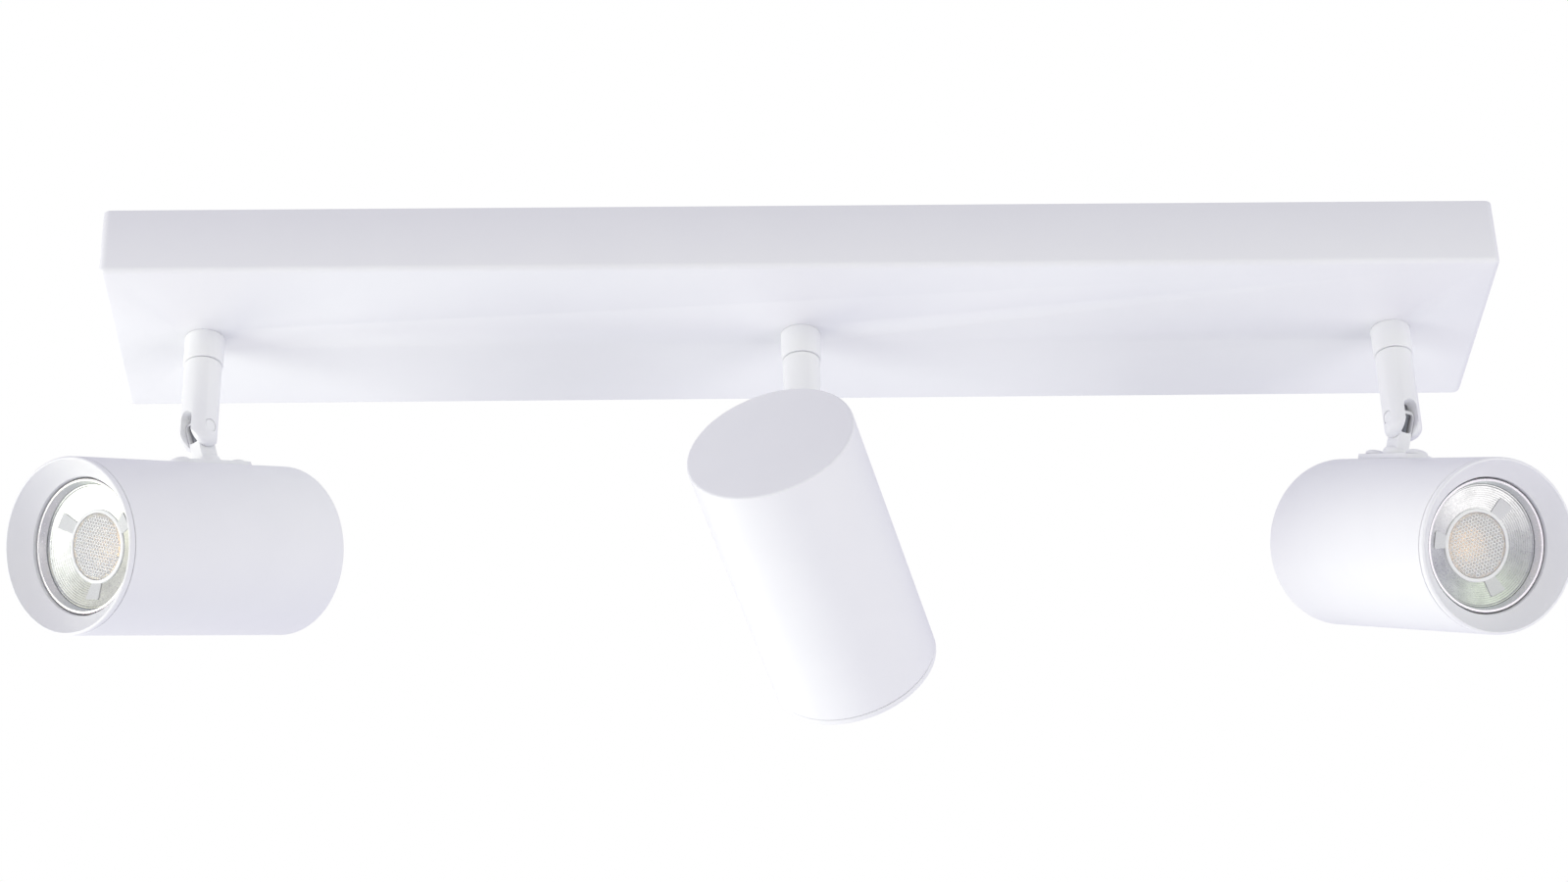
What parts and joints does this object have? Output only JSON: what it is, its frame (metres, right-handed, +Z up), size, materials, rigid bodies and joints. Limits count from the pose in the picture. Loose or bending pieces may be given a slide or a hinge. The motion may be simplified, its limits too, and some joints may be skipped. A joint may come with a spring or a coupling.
{
  "type": "bar spotlight",
  "caption": "Ceiling bar light: a shallow white box carries cylinder spot heads on short stems that swivel and tilt.",
  "frame": {"origin": "centre of the ceiling bracket's top face, on the ceiling plane", "axes": "+Z up into the ceiling, +X along the bar"},
  "size_m": [0.577, 0.1392, 0.1828],
  "materials": {
    "white_coat": "fine matt white powder coat",
    "zinc_steel": "zinc plated sheet steel",
    "bright_steel": "bright plated steel",
    "ceramic": "unglazed steatite ceramic",
    "white_plastic": "moulded white thermoplastic",
    "black_rubber": "soft black rubber",
    "lead_sleeve": "grey silicone sleeve over glass fibre",
    "lamp_glass": "clear moulded glass",
    "phosphor": "yellow phosphor on a white board"
  },
  "bodies": {
    "root": {"ceiling_bracket": "zinc_steel", "canopy_cover": "white_coat", "cable_grommet": "black_rubber", "terminal_block": "white_plastic", "cover_screw_left": "bright_steel", "cover_screw_right": "bright_steel", "bar_lead_left": "lead_sleeve", "stem_collar_left": "white_coat", "stem_nut_left": "bright_steel", "bar_lead_centre": "lead_sleeve", "stem_collar_centre": "white_coat", "stem_nut_centre": "bright_steel", "bar_lead_right": "lead_sleeve", "stem_collar_right": "white_coat", "stem_nut_right": "bright_steel"},
    "swivel_left": {"swivel_stem_left": "white_coat", "pivot_rivet_a_left": "white_coat", "pivot_rivet_b_left": "white_coat"},
    "spot_left": {"tilt_knuckle_left": "white_coat", "saddle_screw_front_left": "white_coat", "saddle_screw_rear_left": "white_coat", "lamp_housing_left": "white_coat", "front_trim_left": "white_coat", "lamp_socket_left": "ceramic", "socket_bracket_left": "zinc_steel", "lamp_base_left": "white_plastic", "lamp_envelope_left": "lamp_glass", "lamp_lens_left": "lamp_glass", "led_board_left": "phosphor", "head_lead_left": "lead_sleeve"},
    "swivel_centre": {"swivel_stem_centre": "white_coat", "pivot_rivet_a_centre": "white_coat", "pivot_rivet_b_centre": "white_coat"},
    "spot_centre": {"tilt_knuckle_centre": "white_coat", "saddle_screw_front_centre": "white_coat", "saddle_screw_rear_centre": "white_coat", "lamp_housing_centre": "white_coat", "front_trim_centre": "white_coat", "lamp_socket_centre": "ceramic", "socket_bracket_centre": "zinc_steel", "lamp_base_centre": "white_plastic", "lamp_envelope_centre": "lamp_glass", "lamp_lens_centre": "lamp_glass", "led_board_centre": "phosphor", "head_lead_centre": "lead_sleeve"},
    "swivel_right": {"swivel_stem_right": "white_coat", "pivot_rivet_a_right": "white_coat", "pivot_rivet_b_right": "white_coat"},
    "spot_right": {"tilt_knuckle_right": "white_coat", "saddle_screw_front_right": "white_coat", "saddle_screw_rear_right": "white_coat", "lamp_housing_right": "white_coat", "front_trim_right": "white_coat", "lamp_socket_right": "ceramic", "socket_bracket_right": "zinc_steel", "lamp_base_right": "white_plastic", "lamp_envelope_right": "lamp_glass", "lamp_lens_right": "lamp_glass", "led_board_right": "phosphor", "head_lead_right": "lead_sleeve"}
  },
  "joints": [
    {"name": "pan_left", "type": "hinge", "parent": "root", "child": "swivel_left", "pos_m": [-0.232, 0, -0.0713], "axis": [0, 0, 1], "range_deg": [-134, 216]},
    {"name": "tilt_left", "type": "hinge", "parent": "swivel_left", "child": "spot_left", "pos_m": [-0.232, 0, -0.0713], "axis": [0.7547, -0.6561, 0], "range_deg": [-23, 67]},
    {"name": "pan_centre", "type": "hinge", "parent": "root", "child": "swivel_centre", "pos_m": [0, 0, -0.0713], "axis": [0, 0, 1], "range_deg": [-336, 14]},
    {"name": "tilt_centre", "type": "hinge", "parent": "swivel_centre", "child": "spot_centre", "pos_m": [0, 0, -0.0713], "axis": [-0.9455, 0.3256, 0], "range_deg": [-21, 69]},
    {"name": "pan_right", "type": "hinge", "parent": "root", "child": "swivel_right", "pos_m": [0.232, 0, -0.0713], "axis": [0, 0, 1], "range_deg": [-198, 152]},
    {"name": "tilt_right", "type": "hinge", "parent": "swivel_right", "child": "spot_right", "pos_m": [0.232, 0, -0.0713], "axis": [0.9205, 0.3907, 0], "range_deg": [-30, 60]}
  ]
}
